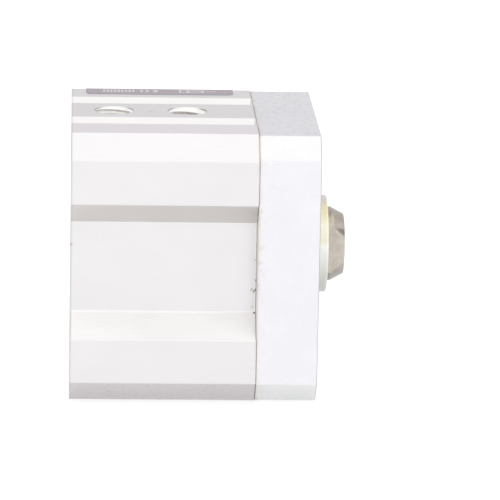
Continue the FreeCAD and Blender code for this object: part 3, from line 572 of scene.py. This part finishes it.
def stained_rod(slot):
    """Brown-grey steel with turning marks along the nose, painted light and shade by slope, a painted dark
    reflection over the flat with a painted glint below it, and a painted yellow reflection of the wiper.
    """
    finish = Finish(slot, Metallic=1.0)
    stain = finish.noise(1.6, detail=5, roughness=0.6)
    feed = finish.ripple(finish.at("X"), 0.11)
    scratches = finish.noise(0.07, stretch=(1, 12, 12))
    colour = finish.blend(finish.rise(stain, *NOISE), ROD_DARK, ROD_LIGHT)
    colour = finish.blend(finish.spread(scratches, *SCRATCHED), colour, ROD_SCRATCH)
    near_side = finish.over(finish.at("Y"), *NEAR_SIDE)
    height = finish.at("Z")
    nose = finish.past(ROD_TIP)

    def above(slope):
        """Height over a line through the tip that climbs away from it."""
        return finish.plus(height, finish.times(nose, slope))

    # Painted dark reflection over the flat
    dark_reflection = finish.times(finish.over(above(REFLECTION_FOOT_SLOPE), *REFLECTION_FOOT),
                        finish.over(above(REFLECTION_TOP_SLOPE), *REFLECTION_TOP), finish.over(nose, *REFLECTION_LENGTH))
    colour = finish.blend(finish.times(dark_reflection, near_side), colour, DARK_REFLECTION)
    # Painted highlight: a glint just below the dark reflection
    glint = finish.times(finish.within(above(GLINT_SLOPE), *GLINT_HEIGHT), finish.within(nose, *GLINT_LENGTH))
    colour = finish.blend(finish.times(glint, near_side, GLINT_SHARE), colour, GLINT)
    colour = finish.by_slope(colour, ROD_SHADES)
    # Painted yellow reflection of the wiper on the nose beside it
    wiper_reflection = finish.times(finish.within(nose, *WIPER_REFLECTION_LENGTH), finish.within(height, *WIPER_REFLECTION_HEIGHT))
    colour = finish.blend(finish.times(wiper_reflection, near_side, WIPER_REFLECTION_SHARE), colour, WIPER_REFLECTION)
    finish.set(Base_Color=colour, Roughness=finish.vary(stain, 0.24, 0.36))
    finish.relief(finish.plus(finish.times(feed, FEED_SHARE), scratches), 0.003, 0.5)
    return finish.material


BLOOM = (0.35, 0.7)
MOULDED_SWING = 0.08


def cast_elastomer(slot, light, dark, roughness):
    """Rubber, polyurethane or bonded powder with a fine moulded grain and a dusty bloom."""
    finish = Finish(slot)
    bloom = finish.noise(2.5, detail=4)
    grain = finish.noise(0.12)
    finish.set(Base_Color=finish.blend(finish.rise(bloom, *BLOOM), dark, light))
    finish.set(Roughness=finish.about(grain, roughness, MOULDED_SWING))
    finish.relief(finish.plus(grain, bloom), 0.006, 0.5)
    return finish.material


# Tones of the wiper from the foot of its hidden bead, at 0, to the top of it, at 1, with painted light and
# shade in them: darker towards the foot and the top, bright across the middle
WIPER_TONES = [
    (0.10, (0.512, 0.50, 0.465, 1)),
    (0.30, (0.63, 0.63, 0.585, 1)),
    (0.57, (0.86, 0.87, 0.83, 1)),
    (0.62, (0.82, 0.75, 0.48, 1)),
    (0.75, (0.905, 0.88, 0.62, 1)),
    (0.80, (0.825, 0.74, 0.31, 1)),
    (0.88, (0.69, 0.56, 0.13, 1)),
    (0.91, (0.65, 0.59, 0.49, 1)),
    (0.94, (0.60, 0.585, 0.56, 1)),
]
WIPER_DRIFT = 0.4 * MM
RIM_HIGHLIGHT = (0.55, 0.65, 0.88, 0.92, 0.45)
RIM_HIGHLIGHT_TONE = (0.84, 0.85, 0.78, 1)
OUTER_RIM = (0.55 * MM, 0.95 * MM)
SMEARED = (0.45, 0.75, 0, 0.2)
SMEAR_TONE = (0.76, 0.75, 0.70, 1)
WIPER_JOINT = (0.35, 0.05, 0.5)
WIPER_JOINT_TONE = (0.55, 0.46, 0.40, 1)


def wiper_ring(slot):
    """Pale ring, yellow above the rod and grey below it, with painted light and shade by height and a painted
    highlight on its outer rim.
    """
    finish = Finish(slot, Specular_IOR_Level=0.4)
    drift = finish.times(finish.math("SUBTRACT", finish.noise(1.1, detail=4), 0.5), WIPER_DRIFT)
    place = finish.spread(finish.plus(finish.at("Z"), drift), -WIPER_REACH, WIPER_REACH, 0, 1)
    colour = finish.ramp(place, WIPER_TONES)
    from_plate = finish.past(HEAD_FRONT)
    # Painted highlight on the outer rim of the ring
    rim_highlight = finish.times(finish.band(place, *RIM_HIGHLIGHT), finish.spread(from_plate, *OUTER_RIM, 0, 1))
    colour = finish.blend(rim_highlight, colour, RIM_HIGHLIGHT_TONE)
    smear = finish.noise(0.35, stretch=(0.4, 1, 1), detail=4, roughness=0.6)
    colour = finish.blend(finish.spread(smear, *SMEARED), colour, SMEAR_TONE)
    colour = finish.blend(finish.over(from_plate, *WIPER_JOINT), colour, WIPER_JOINT_TONE)
    finish.set(Base_Color=colour, Roughness=finish.vary(smear, 0.22, 0.42))
    finish.relief(smear, 0.008, 0.5)
    return finish.material


# Tones of the label from its edge on the top to its edge on the far side, and of its print
LABEL_TONES = [(0.0, (0.25, 0.235, 0.27, 1)), (0.6, (0.28, 0.22, 0.245, 1))]
LABEL_MOTTLE = (0.34, 0.29, 0.32, 1)
MOTTLED = (0.35, 0.7, 0, 0.2)
INK_TONES = [(0.35, (0.42, 0.40, 0.42, 1)), (0.55, (0.56, 0.54, 0.56, 1))]


def label_film(slot):
    """Mauve-grey printed film with a soft sheen."""
    finish = Finish(slot)
    mottle = finish.noise(0.8, detail=4)
    weave = finish.noise(0.08, stretch=(3, 1, 1), detail=2)
    colour = finish.ramp(finish.spread(finish.at("Y"), LABEL_LOW.y, LABEL_HIGH.y, 0, 1), LABEL_TONES)
    colour = finish.blend(finish.spread(mottle, *MOTTLED), colour, LABEL_MOTTLE)
    finish.set(Base_Color=colour, Roughness=finish.vary(mottle, 0.34, 0.48))
    finish.relief(finish.plus(weave, mottle), 0.004, 0.4)
    return finish.material


def print_ink():
    """Pale screen print, thin in places."""
    finish = Finish("label_ink", Roughness=0.5)
    wear = finish.noise(0.25, detail=4, roughness=0.65)
    finish.set(Base_Color=finish.ramp(wear, INK_TONES))
    finish.relief(wear, 0.003, 0.4)
    return finish.material


def floor_paper():
    """Plain pale floor that glows a little, so that it stays white."""
    finish = Finish("floor_paper", Roughness=0.9, Specular_IOR_Level=0.1, Emission_Strength=0.6)
    fibre = finish.noise(2)
    finish.set(Base_Color=finish.blend(finish.vary(fibre, 0, 1), grey(0.49), grey(0.51)))
    finish.set(Emission_Color=grey(1.0))
    return finish.material


AMBER_LIGHT = (0.75, 0.42, 0.10, 1)
AMBER_DARK = (0.6, 0.3, 0.06, 1)

# Finishes by slot, with their light and dark tones and their roughness
FINISHES = {
    "barrel_anodised": drawn_aluminium("barrel_anodised", 0.775, 0.758, 0.42),
    "head_anodised": milled_aluminium("head_anodised", 0.79, 0.767, 0.46),
    "cover_anodised": turned_metal("cover_anodised", 0.68, 0.60, 0.36, pitch=0.35),
    "piston_aluminium": turned_metal("piston_aluminium", 0.68, 0.60, 0.32),
    "screw_steel": turned_metal("screw_steel", 0.54, 0.43, 0.30, tint=WARM, across=CORNER),
    "spring_steel": spring_steel("spring_steel"),
    "rod_steel": stained_rod("rod_steel"),
    "bush_bronze": turned_metal("bush_bronze", 0.45, 0.34, 0.34, tint=BRONZE),
    "black_rubber": cast_elastomer("black_rubber", grey(0.035), grey(0.018), 0.55),
    "amber_polyurethane": cast_elastomer("amber_polyurethane", AMBER_LIGHT, AMBER_DARK, 0.35),
    "wiper_polyurethane": wiper_ring("wiper_polyurethane"),
    "bonded_ferrite": cast_elastomer("bonded_ferrite", grey(0.07, WARM), grey(0.04, WARM), 0.7),
    "label_film": label_film("label_film"),
}


def dress_nodes():
    """Give each CAD node the finish of its material slot."""
    slots = {part["node"]: part["material_slot"] for part in frame["record"]["subparts"]}
    for name, node in frame["nodes"].items():
        node.data.materials.clear()
        node.data.materials.append(FINISHES[slots[name]])


def new_piece(name, mesh_source, material, body):
    """Turn a bmesh into a piece that rides on a body."""
    mesh = bpy.data.meshes.new(name)
    mesh_source.to_mesh(mesh)
    mesh_source.free()
    mesh.materials.append(material)
    piece = bpy.data.objects.new(name, mesh)
    bpy.context.scene.collection.objects.link(piece)
    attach(piece, body)
    return piece


# Female threads

M5 = 2 * MOUNTS["rear_threads"]["dims"]["hole_r_mm"] * MM
PITCH = 0.8 * MM
WALL_OVERLAP = 0.02 * MM
THREAD_STEPS = 48
THREAD_FADE = 0.4
WELD = 1e-7
SHARP_EDGE = radians(25)

# The ridge's height and half widths, and the places along it that are meshed, as shares of the pitch
THREAD_RISE = 0.5413
CREST_HALF = 1 / 8
ROOT_HALF = 7 / 16
FLANK_HALF = (CREST_HALF + ROOT_HALF) / 2
SECTION = [-ROOT_HALF, -FLANK_HALF, -CREST_HALF, 0, CREST_HALF, FLANK_HALF, ROOT_HALF]


def thread(name, mouth, inward, side, first, sink, depth, body, finish):
    """Helical ridge of an M5 thread, cut by the cone of its countersink and run out at its foot.

    The ridge's middle passes the given side of the hole at a first depth, and sink is the countersink's radius.
    """
    other = inward.cross(side)
    wall = M5 / 2 + WALL_OVERLAP
    crest = M5 / 2 - THREAD_RISE * PITCH
    turns = (depth - first) / PITCH - ROOT_HALF
    shape = bmesh.new()
    rings = []
    for step in range(int((turns + 1) * THREAD_STEPS) + 1):
        turn = min(step / THREAD_STEPS - 1, turns)
        fade = min(1.0, (turns - turn) / THREAD_FADE)
        out = side * cos(tau * turn) + other * sin(tau * turn)
        ring = []
        for along in SECTION:
            share = min(1.0, (ROOT_HALF - abs(along)) / (ROOT_HALF - CREST_HALF))
            deep = max(sink - wall, first + (turn + along * fade) * PITCH)
            reach = max(wall - (wall - crest) * share * fade, sink - deep)
            ring.append(shape.verts.new(mouth + inward * deep + out * reach))
        rings.append(ring)
    for here, there in zip(rings, rings[1:]):
        for index in range(len(here)):
            after = (index + 1) % len(here)
            shape.faces.new((here[index], here[after], there[after], there[index]))
    bmesh.ops.remove_doubles(shape, verts=shape.verts, dist=WELD)
    loose = [vert for vert in shape.verts if not vert.link_faces]
    bmesh.ops.delete(shape, geom=loose, context="VERTS")
    bmesh.ops.recalc_face_normals(shape, faces=shape.faces)
    piece = new_piece(name, shape, finish, body)
    piece.data.shade_smooth()
    piece.data.set_sharp_from_angle(angle=SHARP_EDGE)


PORT_SINK = 2.65 * MM
PORT_DEPTH = 5 * MM
PORT_FIRST = {"rear_port": 0.12 * MM, "front_port": 0.42 * MM}
MOUNT_SINK = 2.75 * MM
REAR_DEPTH = 10 * MM
COLLAR_DEPTH = 5.2 * MM
ROD_SINK = 2.8 * MM
ROD_DEPTH = 10 * MM
FIRST = 0.3 * MM


def make_threads():
    """Threads of the two ports, the rear holes, the collar screws and the rod's tip."""
    up = Vector((0, 0, 1))
    forward = Vector((1, 0, 0))
    tapped = tapped_aluminium()
    for port, first in PORT_FIRST.items():
        mouth = Vector((MOUNTS[port]["pos_m"][0], 0, BARREL_HIGH.z))
        thread(f"{port}_thread", mouth, -up, Vector((0, 1, 0)), first, PORT_SINK, PORT_DEPTH,
               "cylinder_body", tapped)
    corners = [(y, z) for y in (-CORNER, CORNER) for z in (-CORNER, CORNER)]
    for number, (y, z) in enumerate(corners, start=1):
        rear = Vector((BARREL_LOW.x, y, z))
        front = Vector((HEAD_FRONT, y, z))
        thread(f"rear_mount_thread_{number}", rear, forward, up, FIRST, MOUNT_SINK, REAR_DEPTH,
               "cylinder_body", tapped)
        thread(f"collar_thread_{number}", front, -forward, up, FIRST, MOUNT_SINK, COLLAR_DEPTH,
               "cylinder_body", FINISHES["screw_steel"])
    tip = Vector((ROD_TIP, 0, 0))
    thread("rod_tip_thread", tip, -forward, up, FIRST, ROD_SINK, ROD_DEPTH,
           "rod_assembly", FINISHES["rod_steel"])


# Print on the label, as bars with their left, low, width and height in millimetres

INK = 0.015 * MM
PRINT_ROW = [(2.3 + 0.5 * index, 1.3, 0.32, 1.6) for index in range(9)]
PRINT_ROW += [(7.4, 1.3, 0.35, 1.6), (8.2, 1.3, 0.35, 1.6), (9.2, 1.3, 0.6, 1.6)]
PRINT_SIGN = [
    (12.7, 1.1, 3.4, 0.32), (12.7, 2.8, 3.4, 0.32), (12.7, 1.42, 0.3, 1.38), (15.8, 1.42, 0.3, 1.38),
    (13.7, 1.42, 0.4, 1.38), (14.1, 1.95, 1.7, 0.32), (16.1, 1.95, 1.7, 0.32),
]


def print_bars(name, bars, corner, along, across):
    """Thin raised bars on a plane with its own corner and directions."""
    lift = along.cross(across).normalized()
    shape = bmesh.new()
    for left, low, width, height in bars:
        corners = [(left, low), (left + width, low), (left + width, low + height), (left, low + height)]
        base = [corner + along * (u * MM) + across * (v * MM) for u, v in corners]
        bottom = [shape.verts.new(point) for point in base]
        top = [shape.verts.new(point + lift * INK) for point in base]
        shape.faces.new(top)
        shape.faces.new(reversed(bottom))
        for index in range(len(base)):
            after = (index + 1) % len(base)
            shape.faces.new((bottom[index], bottom[after], top[after], top[index]))
    new_piece(name, shape, print_ink(), "cylinder_body")


def make_label_print():
    """Plain marks: a row of short bars and the common sign for a cylinder with its piston and rod."""
    corner = Vector((LABEL_LOW.x, LABEL_LOW.y, LABEL_HIGH.z))
    print_bars("label_print", PRINT_ROW + PRINT_SIGN, corner, Vector((1, 0, 0)), Vector((0, 1, 0)))


# Stage

FLOOR_SIZE = 4.0
FLOOR_CELLS = 8


def make_floor():
    shape = bmesh.new()
    bmesh.ops.create_grid(shape, x_segments=FLOOR_CELLS, y_segments=FLOOR_CELLS, size=FLOOR_SIZE)
    mesh = bpy.data.meshes.new("floor")
    shape.to_mesh(mesh)
    shape.free()
    mesh.materials.append(floor_paper())
    floor = bpy.data.objects.new("floor", mesh)
    floor.location.z = cad_box[0][2]
    bpy.context.scene.collection.objects.link(floor)


SKY = 0.99
KEY = 0.95
KEY_ELEVATION = radians(45)
KEY_SOFTNESS = radians(120)


def make_light():
    """Even white surroundings and a very soft sun from the front and above."""
    world = bpy.data.worlds.new("studio")
    world.use_nodes = True
    backdrop = world.node_tree.nodes["Background"]
    backdrop.inputs["Color"].default_value = grey(1.0)
    backdrop.inputs["Strength"].default_value = SKY
    bpy.context.scene.world = world
    lamp = bpy.data.lights.new("key", "SUN")
    lamp.energy = KEY
    lamp.angle = KEY_SOFTNESS
    key = bpy.data.objects.new("key", lamp)
    towards = Vector((0.0, -cos(KEY_ELEVATION), sin(KEY_ELEVATION)))
    key.rotation_euler = towards.to_track_quat("Z", "Y").to_euler()
    bpy.context.scene.collection.objects.link(key)


CAMERA_YAW = radians(2.68)
CAMERA_ELEVATION = radians(13.26)
CAMERA_ROLL = radians(1.14)
CAMERA_DISTANCE = 542.9 * MM
CAMERA_TARGET = Vector((24.26, 0.0, -1.047)) * MM
CAMERA_LENS = 289.6
CAMERA_SENSOR = 36.0


def make_camera():
    """Camera of the photograph, by its angles about the point that it looks at."""
    data = bpy.data.cameras.new("camera")
    data.sensor_fit = "HORIZONTAL"
    data.sensor_width = CAMERA_SENSOR
    data.lens = CAMERA_LENS
    camera = bpy.data.objects.new("camera", data)
    level = cos(CAMERA_ELEVATION)
    back = Vector((-sin(CAMERA_YAW) * level, -cos(CAMERA_YAW) * level, sin(CAMERA_ELEVATION)))
    right = (-back).cross(Vector((0, 0, 1))).normalized()
    up = right.cross(-back)
    turned_right = right * cos(CAMERA_ROLL) + up * sin(CAMERA_ROLL)
    turned_up = up * cos(CAMERA_ROLL) - right * sin(CAMERA_ROLL)
    place = Matrix((turned_right, turned_up, back)).transposed().to_4x4()
    place.translation = CAMERA_TARGET + back * CAMERA_DISTANCE
    camera.matrix_world = place
    bpy.context.scene.collection.objects.link(camera)
    bpy.context.scene.camera = camera


dress_nodes()
make_threads()
make_label_print()
make_floor()
make_light()
make_camera()
bpy.context.scene.view_settings.view_transform = "Standard"
